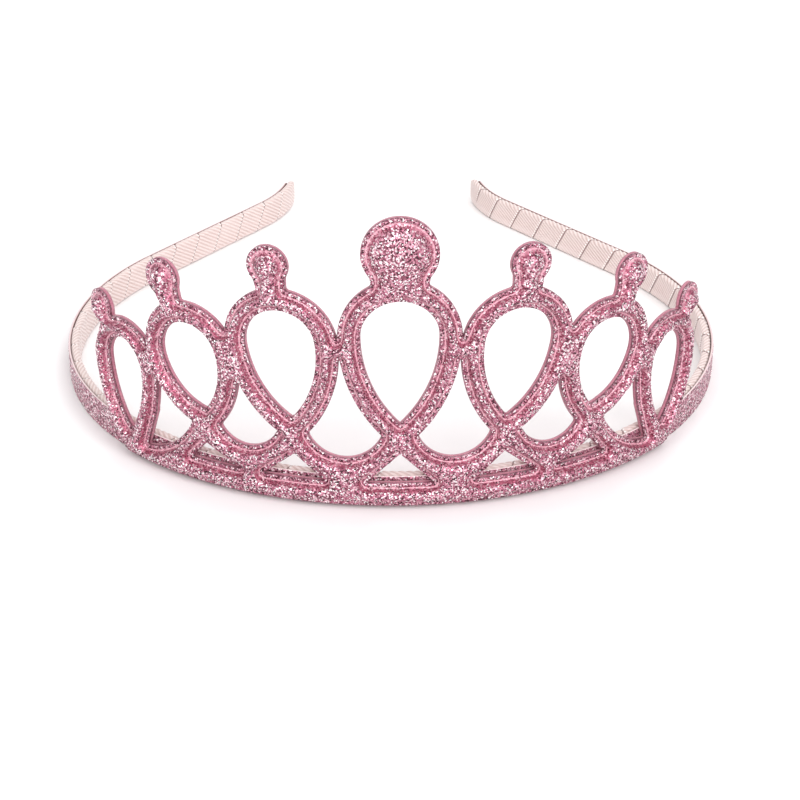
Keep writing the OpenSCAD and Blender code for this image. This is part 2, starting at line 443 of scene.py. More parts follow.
@dataclass(frozen=True)
class GlitterFilm:
    """Glitter fabric: flakes of polyester film fused on a soft film, hot-pressed over foam.

    Each flake is a tiny mirror of its own tone and tilt, so the eye gets a salt-and-pepper
    sparkle of white, rose and maroon. Where the press stretched the film it is smooth, with
    fewer flakes, and a lighter pink is painted there, partly its own tone and partly a
    highlight; a deeper pink is painted as shade on the sloping side beside it, and a dark
    grey as shade along the crown face's cut edge. Its cut edge shows the pale cloth that the
    film is laid on, and its inner side a brown line of adhesive with painted crevice shade.
    """

    name: str = "glitter_fabric_polyester_film"
    flake_mm: float = 0.25
    tilt: float = 0.8
    metal: float = 0.55
    roughness: float = 0.38
    coat: float = 0.15
    tear: float = 0.6
    stretch: float = 1.4
    steps: ToneSteps = ToneSteps((
        (0.0, "#48262F"), (0.15, "#85485A"), (0.34, "#AA647B"), (0.52, "#C17C91"), (0.66, "#D59DAD"),
        (0.8, "#ECC8D2"), (0.9, "#FFF6F8"),
    ))  # fmt: skip
    # Lighter pink of the stretched film: partly its own tone, partly a painted highlight.
    bare: str = "#EDB2C1"
    # Painted shade: a deeper pink on the sloping side beside the groove.
    slope: str = "#B45872"
    # Painted shade: a dark grey along the crown face's cut edge.
    rim: str = "#80525F"
    cut: str = "#EBD3D4"
    # Brown adhesive with painted shade in the crevice between the strip and the band.
    glue: str = "#86625F"

    def build(self) -> Finish:
        """Build the node material."""
        material, tree, known = new_material(self.name, ("press", "slope", "rim", "cut", "glue"))
        links = {"Vector": known["place"], "Scale": 1 / (self.flake_mm * MM)}
        known["colour"] = add_node(tree, "ShaderNodeTexVoronoi", None, links).outputs["Color"]
        parts = add_node(tree, "ShaderNodeSeparateXYZ", None, {0: known["colour"]})
        known["chance"] = parts.outputs["Y"]
        rows = (
            ("torn", "MULTIPLY", ("chance", -self.tear)),
            # Where the film is stretched it loses flakes and gets the lighter pink, partly a painted highlight.
            ("bare", (MATH, {"operation": "MULTIPLY_ADD", "use_clamp": True}), ("press", self.stretch, "torn")),
            ("leaning", (VECTOR_MATH, {"operation": "SUBTRACT"}), ("colour", (0.5, 0.5, 0.5))),
            ("plain", "MAXIMUM", ("bare", "cut")),
            ("flaky", "SUBTRACT", (1.0, "plain")),
            ("lean", "MULTIPLY", ("flaky", self.tilt)),
            ("metal", "MULTIPLY", ("flaky", self.metal)),
        )
        wire(tree, known, rows)
        # Each of these shares lays the field's tone of the same name over the flakes' tones: a deeper pink painted as
        # shade, a lighter pink that is partly painted highlight, a dark grey painted as edge shade, the cut cloth, and
        # adhesive with painted crevice shade.
        colour = self.steps.pick(tree, parts.outputs["X"])
        for label in ("slope", "bare", "rim", "cut", "glue"):
            links = {"Factor": known[label], "A": colour, "B": linear(getattr(self, label))}
            colour = add_node(tree, "ShaderNodeMix", {"data_type": "RGBA"}, links).outputs["Result"]
        normal = add_node(tree, "ShaderNodeNewGeometry").outputs["Normal"]
        links = {"Vector": known["leaning"], "Scale": known["lean"]}
        tilted = add_node(tree, VECTOR_MATH, {"operation": "SCALE"}, links)
        turned = add_node(tree, VECTOR_MATH, {"operation": "ADD"}, {0: normal, 1: tilted.outputs[0]})
        facing = add_node(tree, VECTOR_MATH, {"operation": "NORMALIZE"}, {0: turned.outputs[0]})
        values = {"Base Color": colour, "Metallic": known["metal"], "Roughness": self.roughness}
        end_material(tree, values | {"Normal": facing.outputs[0], "Coat Weight": self.coat})
        return material


@dataclass(frozen=True)
class FlakeFoil:
    """Cut flakes of metallised polyester film, loose-laid: bright, sharp-edged and mirror-like."""

    name: str = "flakes_metallised_polyester"
    steps: ToneSteps = ToneSteps(((0.0, "#5C3340"), (0.25, "#A26277"), (0.5, "#D098A8"), (0.7, "#FFF6F8")))
    metal: float = 0.85
    roughness: float = 0.25

    def build(self) -> Finish:
        """Build the node material."""
        material, tree, known = new_material(self.name, ("tone",))
        colour = self.steps.pick(tree, known["tone"])
        end_material(tree, {"Base Color": colour, "Metallic": self.metal, "Roughness": self.roughness})
        return material


@dataclass(frozen=True)
class PressedFelt:
    """Needled polyester felt: matt, dense and a little fluffy.

    The eye gets a cloudy pink with short, tangled fibres, and a soft, even line at its cut edge.
    """

    name: str = "felt_needled_polyester"
    colour: str = "#DE97A8"
    shade: str = "#A65C73"
    fibre_mm: float = 0.3
    cloud_mm: float = 2.2
    fluff: float = 0.9
    fluff_mm: float = 0.15
    roughness: float = 0.95
    sheen: float = 0.3

    def build(self) -> Finish:
        """Build the node material."""
        material, tree, known = new_material(self.name)
        for label, size, more in (
            ("fibre", self.fibre_mm, {"Detail": 3.0, "Distortion": 2.5}),
            ("cloud", self.cloud_mm, {"Detail": 2.0}),
        ):
            links = {"Vector": known["place"], "Scale": 1 / (size * MM)} | more
            known[label] = add_node(tree, "ShaderNodeTexNoise", None, links).outputs[0]
        rows = (
            ("tangle", EVEN, ("fibre", 0.3, 0.7)),
            ("drift", "MULTIPLY_ADD", ("cloud", 0.7, -0.35)),
            ("tone", (MATH, {"operation": "ADD", "use_clamp": True}), ("tangle", "drift")),
        )
        wire(tree, known, rows)
        links = {"Factor": known["tone"], "A": linear(self.shade), "B": linear(self.colour)}
        colour = add_node(tree, "ShaderNodeMix", {"data_type": "RGBA"}, links).outputs["Result"]
        links = {"Strength": self.fluff, "Distance": self.fluff_mm * MM, "Height": known["fibre"]}
        bump = add_node(tree, "ShaderNodeBump", None, links).outputs[0]
        values = {"Base Color": colour, "Roughness": self.roughness, "Sheen Weight": self.sheen, "Normal": bump}
        end_material(tree, values)
        return material


@dataclass(frozen=True)
class RibbonCloth:
    """Woven polyester grosgrain ribbon: pale pink, with a soft satin sheen on each weft rib.

    The eye gets fine slanting ribs with painted shade between them, a thin line of painted
    shade in each seam's crease, and a row of loops with painted highlights on the edge of the
    turn that lies on top.
    """

    name: str = "ribbon_woven_polyester"
    ridge: str = "#EADAD7"
    # Painted shade between the ribs.
    valley: str = "#D0B8B3"
    # Painted shade: a dark line in the crease at each seam.
    seam: str = "#8F7473"
    # Painted highlight on the picot loops.
    picot: str = "#FFFAF7"
    thread_mm: float = 0.16
    cloud_mm: float = 6.0
    roughness: float = 0.55
    sheen: float = 0.25
    sheen_roughness: float = 0.4
    relief: float = 0.5
    relief_mm: float = 0.05

    def build(self, winding: "Winding") -> Finish:
        """Build the node material.

        Args:
            winding: the turns that the pattern follows.

        Returns:
            The material.
        """
        material, tree, known = new_material(self.name, ("along", "around", "tip"))
        known |= winding.inputs()
        known["wound from"] = winding.tip_cover * 0.8 * MM
        for label, size, detail in (("threads", self.thread_mm, 2.0), ("cloudy", self.cloud_mm, 1.0)):
            links = {"Vector": known["place"], "Scale": 1 / (size * MM), "Detail": detail}
            known[label] = add_node(tree, "ShaderNodeTexNoise", None, links).outputs[0]
        axes = add_node(tree, "ShaderNodeSeparateXYZ", None, {0: known["place"]})
        known |= {axis: axes.outputs[axis] for axis in "XZ"}
        wire(tree, known, CLOTH_ROWS)
        # The painted shade between the ribs goes first, then the ribs' own pale pink, the painted picot highlights and
        # the painted seam shade.
        colour = linear(self.valley)
        for label, tone in (("tone", self.ridge), ("picot highlight", self.picot), ("seam shade", self.seam)):
            links = {"Factor": known[label], "A": colour, "B": linear(tone)}
            colour = add_node(tree, "ShaderNodeMix", {"data_type": "RGBA"}, links).outputs["Result"]
        links = {"Strength": self.relief, "Distance": self.relief_mm * MM, "Height": known["relief"]}
        bump = add_node(tree, "ShaderNodeBump", None, links).outputs[0]
        values = {"Base Color": colour, "Roughness": self.roughness, "Sheen Weight": self.sheen}
        end_material(tree, values | {"Sheen Roughness": self.sheen_roughness, "Normal": bump})
        return material


@dataclass(frozen=True)
class PaleBoard:
    """Matt white card for the floor."""

    name: str = "card_matt_white"
    colour: str = "#FAF9F9"
    roughness: float = 0.9

    def build(self) -> Finish:
        """Build the node material."""
        material = bpy.data.materials.new(self.name)
        material.use_nodes = True
        surface = material.node_tree.nodes["Principled BSDF"]
        surface.inputs["Base Color"].default_value = linear(self.colour)
        surface.inputs["Roughness"].default_value = self.roughness
        return material


@dataclass
class BandLine:
    """The plan of the band, at the glitter strip's outer face. Sizes are in millimetres and degrees."""

    axis_y: float
    radius: float = 62.5
    arm_angle: float = 126.0
    arm_length: float = 38.0
    flare_radius: float = 31.0
    flare_angle: float = 31.0

    @property
    def half_length(self) -> float:
        """Length from the front centre to a tip."""
        bends = math.radians(self.arm_angle) * self.radius, math.radians(self.flare_angle) * self.flare_radius
        return bends[0] + self.arm_length + bends[1]

    def at(self, u: np.ndarray, offset: float | np.ndarray) -> np.ndarray:
        """Find plan points from their place along the band.

        Args:
            u: lengths along the line from the front centre, positive towards +X.
            offset: how far outwards of the line.

        Returns:
            Rows of x and y.
        """
        side = np.where(u < 0, -1.0, 1.0)
        v = np.abs(u)
        turn = math.radians(self.arm_angle)
        bent = turn * self.radius
        along = np.clip(v - bent, 0, self.arm_length)
        back = np.maximum(v - bent - self.arm_length, 0) / self.flare_radius
        bend = np.minimum(v / self.radius, turn)
        angle = bend - back
        outwards = np.c_[np.sin(angle), -np.cos(angle)]
        start = self.radius * np.c_[np.sin(bend), -np.cos(bend)]
        straight = along[:, None] * np.array([math.cos(turn), math.sin(turn)])
        flare = self.flare_radius * (np.array([math.sin(turn), -math.cos(turn)]) - outwards)
        plan = start + straight + np.where(back[:, None] > 0, flare, 0)
        plan = plan + np.reshape(offset, (-1, 1)) * outwards
        return np.c_[side * plan[:, 0], plan[:, 1] + self.axis_y]


@dataclass
class Sweep:
    """A wrapped or glued layer that runs along the whole band with a rounded section. Millimetres."""

    line: BandLine
    inner: float
    outer: float
    low: float
    high: float
    edge: float
    setback: float = 0.0
    tip_corner: float = 2.2
    tip_round: float = 0.3
    step: float = 0.28
    tip_steps: tuple = (0.02, 2.5, 16)
    tip_reach: float = 2.8

    @property
    def perimeter(self) -> float:
        """Length once round the section."""
        return 2 * (self.outer - self.inner + self.high - self.low) - (8 - math.tau) * self.edge

    @property
    def middle(self) -> float:
        """Height of the section's middle."""
        return (self.low + self.high) / 2

    def path(self, name: str) -> Piece:
        """Make the line through the section's middle, from tip to tip, with close points at the tips."""
        half = self.line.half_length - self.setback
        ends = np.geomspace(*self.tip_steps)
        middle = np.linspace(-half + self.tip_reach, half - self.tip_reach, round(2 * half / self.step))
        u = np.r_[-half, -half + ends, middle, half - ends[::-1], half]
        plan = self.line.at(u, (self.inner + self.outer) / 2)
        return poly_line(name, np.c_[plan, np.full(len(u), self.middle)] * MM, False)

    def section(self, name: str, rows_inner: int, rows_outer: int) -> Piece:
        """Make the rounded section round the line, x outwards and y downwards.

        Args:
            name: the curve's name.
            rows_inner: points up the inner face.
            rows_outer: points down the outer face.

        Returns:
            The closed curve, which starts and ends at the middle of the outer face.
        """
        half_wide = (self.outer - self.inner) / 2 - self.edge
        half_high = (self.high - self.low) / 2 - self.edge
        bend = np.radians(np.arange(0, 91, 22.5))
        down = np.linspace(0, half_high, rows_outer // 2)
        corners = []
        for sx, sy, start in ((1, 1, 0), (-1, 1, 90), (-1, -1, 180), (1, -1, 270)):
            a = bend + math.radians(start)
            corners.append(np.c_[sx * half_wide + self.edge * np.cos(a), sy * half_high + self.edge * np.sin(a)])
        x = half_wide + self.edge
        points = [
            np.c_[np.full(len(down) - 1, x), down[:-1]],
            corners[0],
            corners[1],
            np.c_[np.full(rows_inner - 2, -x), np.linspace(half_high, -half_high, rows_inner)[1:-1]],
            corners[2],
            corners[3],
            np.c_[np.full(len(down) - 2, x), -down[1:-1][::-1]],
        ]
        flat = np.vstack(points)
        return poly_line(name, np.c_[flat, np.zeros(len(flat))] * MM, True)

    def lay(self, name: str, tree: Tree, rows: tuple[int, int], material: Finish, winding: dict) -> Piece:
        """Lay the layer along the band.

        Args:
            name: the piece's name.
            tree: the layer's Geometry Nodes tree.
            rows: points up the section's inner face and down its outer face.
            material: its finish.
            winding: the winding's sizes, by the names of the tree's inputs.

        Returns:
            The closed mesh.
        """
        section = self.section(name + "_section", *rows)
        values = {
            "Height": (self.high - self.low) * MM,
            "Tip corner": self.tip_corner * MM,
            "Tip round": self.tip_round * MM,
            "Middle": self.middle * MM,
            "Section": section,
            "Material": material,
        }
        piece = grown(name, self.path(name + "_path"), tree, values | winding)
        bpy.data.objects.remove(section)
        return piece


@dataclass
class Winding:
    """How the ribbon is wound. Millimetres."""

    perimeter: float
    pitch: float = 7.7
    rib_spacing: float = 0.72
    rib_height: float = 0.2
    seam_step: float = 0.03
    seam_gap: float = 0.12
    picot: float = 0.08
    tip_cover: float = 7.0

    def inputs(self) -> dict:
        """Give the sizes in metres, by the names of the trees' inputs."""
        return {name.replace("_", " ").capitalize(): size * MM for name, size in asdict(self).items()}


def sweep_tree() -> Tree:
    """Build the tree that lays a wound or plain layer along the band.

    The path carries its length and its distance from the nearer tip, the section its length,
    and the relief of seams, ribs and picots is worked out from them.

    Returns:
        The tree.
    """
    sizes = (
        "Height", "Tip corner", "Tip round", "Middle", "Pitch", "Perimeter", "Rib spacing", "Rib height",
        "Seam step", "Seam gap", "Picot", "Tip cover",
    )  # fmt: skip
    tree, known = new_tree("layer_along_band", sizes, ("Section",))
    known["length"] = add_node(tree, "GeometryNodeSplineParameter").outputs["Length"]
    known["whole"] = add_node(tree, "GeometryNodeCurveLength", None, {0: known["Geometry"]}).outputs[0]
    wire(tree, known, TIP_ROWS)
    path = known["Geometry"]
    for label, value in (("along", known["length"]), ("tip", known["from tip"])):
        path = add_node(tree, STORE, None, {"Geometry": path, "Name": label, "Value": value}).outputs[0]
    section = add_node(tree, "GeometryNodeObjectInfo", None, {"Object": known["Section"]}).outputs["Geometry"]
    section = add_node(tree, STORE, None, {"Geometry": section, "Name": "around", "Value": known["length"]}).outputs[0]
    upright = add_node(tree, "GeometryNodeSetCurveNormal", {"mode": "Z_UP"}, {0: path}).outputs[0]
    links = {"Curve": upright, "Profile Curve": section, "Scale": known["scale"], "Fill Caps": True}
    tube = add_node(tree, "GeometryNodeCurveToMesh", None, links).outputs[0]
    for label in ("along", "tip", "around"):
        known[label] = add_node(tree, NAMED, {"data_type": "FLOAT"}, {"Name": label}).outputs[0]
    position = add_node(tree, "GeometryNodeInputPosition").outputs[0]
    parts = add_node(tree, "ShaderNodeSeparateXYZ", None, {0: position})
    known |= {axis: parts.outputs[axis] for axis in "XYZ"}
    wire(tree, known, CORNER_ROWS)
    ended = add_node(tree, "ShaderNodeCombineXYZ", None, {"X": known["X"], "Y": known["Y"], "Z": known["narrowed"]})
    tube = add_node(tree, "GeometryNodeSetPosition", None, {"Geometry": tube, "Position": ended.outputs[0]}).outputs[0]
    wire(tree, known, RELIEF_ROWS)
    normal = add_node(tree, "GeometryNodeInputNormal").outputs[0]
    push = add_node(tree, VECTOR_MATH, {"operation": "SCALE"}, {"Vector": normal, "Scale": known["relief"]})
    tube = add_node(tree, "GeometryNodeSetPosition", None, {"Geometry": tube, "Offset": push.outputs[0]}).outputs[0]
    tube = add_node(tree, "GeometryNodeSetShadeSmooth", None, {"Geometry": tube}).outputs[0]
    end_tree(tree, tube, known["Material"])
    return tree


def flake_tree() -> Tree:
    """Build the tree that strews cut flakes over a surface.

    Returns:
        The tree, which gives the flakes alone.
    """
    tree, known = new_tree("strewn_flakes", ("Spacing", "Density", "Radius", "Thickness", "Tilt", "Seed"))
    links = {
        "Mesh": known["Geometry"],
        "Distance Min": known["Spacing"],
        "Density Max": known["Density"],
        "Density Factor": add_node(tree, NAMED, {"data_type": "FLOAT"}, {"Name": "flake_share"}).outputs[0],
        "Seed": known["Seed"],
    }
    strewn = add_node(tree, "GeometryNodeDistributePointsOnFaces", {"distribute_method": "POISSON"}, links)
    wire(tree, known, (("lowest", "MULTIPLY", ("Tilt", -1.0)),))
    low, high = (
        add_node(tree, "ShaderNodeCombineXYZ", None, {"X": side, "Y": side, "Z": turn}).outputs[0]
        for side, turn in ((known["lowest"], 0.0), (known["Tilt"], math.tau))
    )
    # The random node takes vectors at its inputs 0 and 1, and numbers at 2 and 3.
    for label, sort, first, least, most, seed in (
        ("lean", "FLOAT_VECTOR", 0, low, high, 11),
        ("size", "FLOAT", 2, 0.7, 1.15, 12),
        ("tone", "FLOAT", 2, 0.0, 1.0, 13),
    ):
        links = {first: least, first + 1: most, "Seed": seed}
        known[label] = add_node(tree, "FunctionNodeRandomValue", {"data_type": sort}, links).outputs[first // 2]
    turn = add_node(tree, "FunctionNodeEulerToRotation", None, {0: known["lean"]}).outputs[0]
    links = {0: strewn.outputs["Rotation"], 1: turn}
    facing = add_node(tree, "FunctionNodeRotateRotation", {"rotation_space": "LOCAL"}, links).outputs[0]
    links = {"Geometry": strewn.outputs["Points"], "Name": "tone", "Value": known["tone"]}
    points = add_node(tree, STORE, None, links).outputs[0]
    links = {"Vertices": 4, "Radius": known["Radius"], "Depth": known["Thickness"]}
    flake = add_node(tree, "GeometryNodeMeshCylinder", None, links).outputs["Mesh"]
    links = {"Points": points, "Instance": flake, "Rotation": facing, "Scale": known["size"]}
    laid = add_node(tree, "GeometryNodeInstanceOnPoints", None, links).outputs[0]
    end_tree(tree, laid, known["Material"])
    return tree


@dataclass(frozen=True)
class Loop:
    """One drop-shaped loop with its bead: flat places and sizes in millimetres."""

    head_x: float
    head_z: float
    open_r: float
    foot_x: float
    foot_z: float
    bead_x: float
    bead_z: float
    bead_r: float
    neck: float


@dataclass(frozen=True)
class Swag:
    """The round hollow over a swag, and the stretch of x that the swag fills. Millimetres."""

    x: float
    z: float
    r: float
    start: float
    end: float


@dataclass(frozen=True)
class Peep:
    """A small triangular hole over the base bar: its apex and its two corners on the bar. Millimetres."""

    apex_x: float
    apex_z: float
    left: float
    right: float


def leaning(x: np.ndarray, z: np.ndarray, foot: tuple, lean: float) -> tuple[np.ndarray, np.ndarray]:
    """Measure points across and up along a line that leans.

    Args:
        x: places along the band.
        z: heights.
        foot: the place and height that the line starts from.
        lean: its angle from upright, in radians.

    Returns:
        How far across and how far up each point is.
    """
    dx, dz = x - foot[0], z - foot[1]
    return dx * math.cos(lean) - dz * math.sin(lean), dx * math.sin(lean) + dz * math.cos(lean)


def peak(x: np.ndarray, centre: float, width: float) -> np.ndarray:
    """Rise smoothly to 1 at a centre."""
    return np.exp(-(((x - centre) / width) ** 2))


def joined(a: np.ndarray, b: np.ndarray, fillet: float) -> np.ndarray:
    """Join two shapes, given by how far inside them each point is, with a small fillet."""
    return np.maximum(a, b) + np.maximum(fillet - np.abs(a - b), 0) ** 2 / (4 * fillet)


@dataclass
class CrownPattern:
    """The crown's flat cut pattern: x is along the band from the front centre, z is up. Millimetres."""

    strand: float = 3.7
    bar_bottom: float = 0.6
    bar_top: float = 4.9
    fillet: float = 0.35
    loops: tuple = (
        Loop(0, 31.6, 6.4, 0, 16.0, 0, 46.1, 6.3, 4.7),
        Loop(19.8, 29.3, 6.0, 17.9, 16.1, 21.5, 42.9, 3.5, 2.5),
        Loop(37.0, 24.3, 5.6, 33.8, 14.8, 41.9, 36.9, 3.4, 2.2),
        Loop(52.5, 18.0, 4.6, 51.5, 5.5, 59.0, 26.4, 3.2, 1.9),
    )
    swags: tuple = (
        Swag(9.2, 16.0, 6.6, -1.0, 19.2),
        Swag(26.1, 15.5, 5.9, 17.2, 36.0),
        Swag(49.1, 17.6, 13.8, 35.5, 49.6),
    )
    peeps: tuple = (Peep(0, 10.4, -5.7, 5.7), Peep(17.6, 9.5, 12.5, 23.3), Peep(33.9, 8.4, 27.2, 37.0))
    leg: tuple = ((46.4, 12.0), (49.9, 2.2))
    swag_drop: float = 2.4

    def drop(self, x: np.ndarray, z: np.ndarray, loop: Loop, grow: float) -> np.ndarray:
        """How far inside a drop each point is: a round head over two long curved sides."""
        long = math.hypot(loop.head_x - loop.foot_x, loop.head_z - loop.foot_z)
        shift = (long**2 - loop.open_r**2) / (2 * loop.open_r)
        lean = math.atan2(loop.head_x - loop.foot_x, loop.head_z - loop.foot_z)
        across, up = leaning(x, z, (loop.head_x, loop.head_z), lean)
        head = loop.open_r + grow - np.hypot(across, up)
        sides = loop.open_r + shift + grow - np.hypot(np.abs(across) + shift, up)
        return np.where(up >= 0, head, sides)

    def bead(self, x: np.ndarray, z: np.ndarray, loop: Loop) -> np.ndarray:
        """How far inside a bead and its neck each point is."""
        away_x, away_z = loop.bead_x - loop.head_x, loop.bead_z - loop.head_z
        reach = math.hypot(away_x, away_z)
        across, up = leaning(x, z, (loop.head_x, loop.head_z), math.atan2(away_x, away_z))
        waist = min(loop.open_r + self.strand, reach - loop.bead_r * 0.8)
        top = reach - loop.bead_r * 0.3
        spread = (loop.bead_r * 0.82 - loop.neck) * (up - waist) / max(top - waist, 0.1)
        half = np.where(up < waist, loop.neck, loop.neck + spread)
        neck = np.minimum.reduce((half - np.abs(across), up - (loop.open_r + self.strand / 2), top - up))
        return np.maximum(loop.bead_r - np.hypot(x - loop.bead_x, z - loop.bead_z), neck)

    def peep(self, x: np.ndarray, z: np.ndarray, hole: Peep) -> np.ndarray:
        """How far inside a triangular hole each point is. The base bar closes it below."""
        sides = []
        for x0, z0, x1, z1 in (
            (hole.left, self.bar_top, hole.apex_x, hole.apex_z),
            (hole.apex_x, hole.apex_z, hole.right, self.bar_top),
        ):
            long = math.hypot(x1 - x0, z1 - z0)
            sides.append(((z1 - z0) * (x - x0) - (x1 - x0) * (z - z0)) / long)
        return np.minimum.reduce((*sides, z - self.bar_top + 3))

    def inside(self, x: np.ndarray, z: np.ndarray) -> np.ndarray:
        """How far inside the whole pattern each point is, roughly, in millimetres.

        Args:
            x: places along the band.
            z: heights.

        Returns:
            Positive numbers inside, and negative ones outside.
        """
        x = np.abs(x)
        end = self.loops[-1].foot_x + self.strand / 2
        bar = np.minimum.reduce((self.bar_top - z, z - self.bar_bottom, end - x))
        block = np.full(x.shape, -9.0)
        for swag in self.swags:
            low, high = self.bar_bottom + self.strand / 2, swag.z - self.swag_drop
            block = np.maximum(block, np.minimum.reduce((x - swag.start, swag.end - x, z - low, high - z)))
        for hole in self.peeps:
            block = np.minimum(block, -self.peep(x, z, hole))
        whole = np.maximum(bar, block)
        for swag in self.swags:
            whole = np.minimum(whole, np.hypot(x - swag.x, z - swag.z) - swag.r)
        for loop in self.loops:
            body = joined(self.drop(x, z, loop, self.strand), self.bead(x, z, loop), self.fillet)
            whole = joined(whole, np.minimum(body, -self.drop(x, z, loop, 0)), self.fillet)
        (x0, z0), (x1, z1) = self.leg
        long = math.hypot(x1 - x0, z1 - z0)
        down = ((x - x0) * (x1 - x0) + (z - z0) * (z1 - z0)) / long
        aside = np.abs((z - z0) * (x1 - x0) - (x - x0) * (z1 - z0)) / long
        leg = np.minimum.reduce((self.strand / 2 - aside, down, long - down))
        return np.minimum(np.maximum(whole, leg), z - self.bar_bottom)

    def bead_share(self, x: np.ndarray, z: np.ndarray) -> np.ndarray:
        """How much each point belongs to a bead, from 0 to 1."""
        share = np.zeros(x.shape)
        for loop in self.loops:
            away = np.hypot(np.abs(x) - loop.bead_x, z - loop.bead_z)
            share = np.maximum(share, 1 - smoothstep(loop.bead_r - 0.6, loop.bead_r + 0.5, away))
        return share


def level_lines(values: np.ndarray, level: float, start: tuple[float, float], step: float) -> list[np.ndarray]:
    """Trace where a grid of values crosses a level.

    Args:
        values: one row for each height, one column for each place along.
        level: the value to trace.
        start: place and height of the grid's first point.
        step: the grid's step.

    Returns:
        Closed lines, as rows of place and height, with the higher values on their left.
    """
    over = values > level
    follows: dict[tuple, tuple] = {}
    spots: dict[tuple, tuple] = {}
    mixed = over[:-1, :-1].astype(int) + over[:-1, 1:] + over[1:, 1:] + over[1:, :-1]
    for i, j in zip(*np.nonzero((mixed > 0) & (mixed < 4))):
        corners = ((i, j), (i, j + 1), (i + 1, j + 1), (i + 1, j))
        leaving, entering = [], []
        for a, b in zip(corners, corners[1:] + corners[:1]):
            if over[a] == over[b]:
                continue
            key = (min(a, b), max(a, b))
            if key not in spots:
                t = (level - values[key[0]]) / (values[key[1]] - values[key[0]])
                spots[key] = (
                    start[0] + step * (key[0][1] + t * (key[1][1] - key[0][1])),
                    start[1] + step * (key[0][0] + t * (key[1][0] - key[0][0])),
                )
            (leaving if over[a] else entering).append(key)
        if len(leaving) == 2 and values[i : i + 2, j : j + 2].mean() > level:
            entering.reverse()
        for first, second in zip(leaving, entering):
            follows[first] = second
    lines = []
    while follows:
        first = next(iter(follows))
        line, key = [], first
        while key in follows:
            line.append(spots[key])
            key = follows.pop(key)
        lines.append(np.array(line))
    return lines


def evened(line: np.ndarray, spacing: float) -> np.ndarray:
    """Space a closed line's points evenly.

    Args:
        line: the closed line's points.
        spacing: about how far apart the new points are.

    Returns:
        The new points.
    """
    closed = np.vstack([line, line[:1]])
    length = np.r_[0, np.cumsum(np.hypot(*np.diff(closed, axis=0).T))]
    count = max(8, round(length[-1] / spacing))
    at = np.arange(count) * length[-1] / count
    return np.c_[np.interp(at, length, closed[:, 0]), np.interp(at, length, closed[:, 1])]


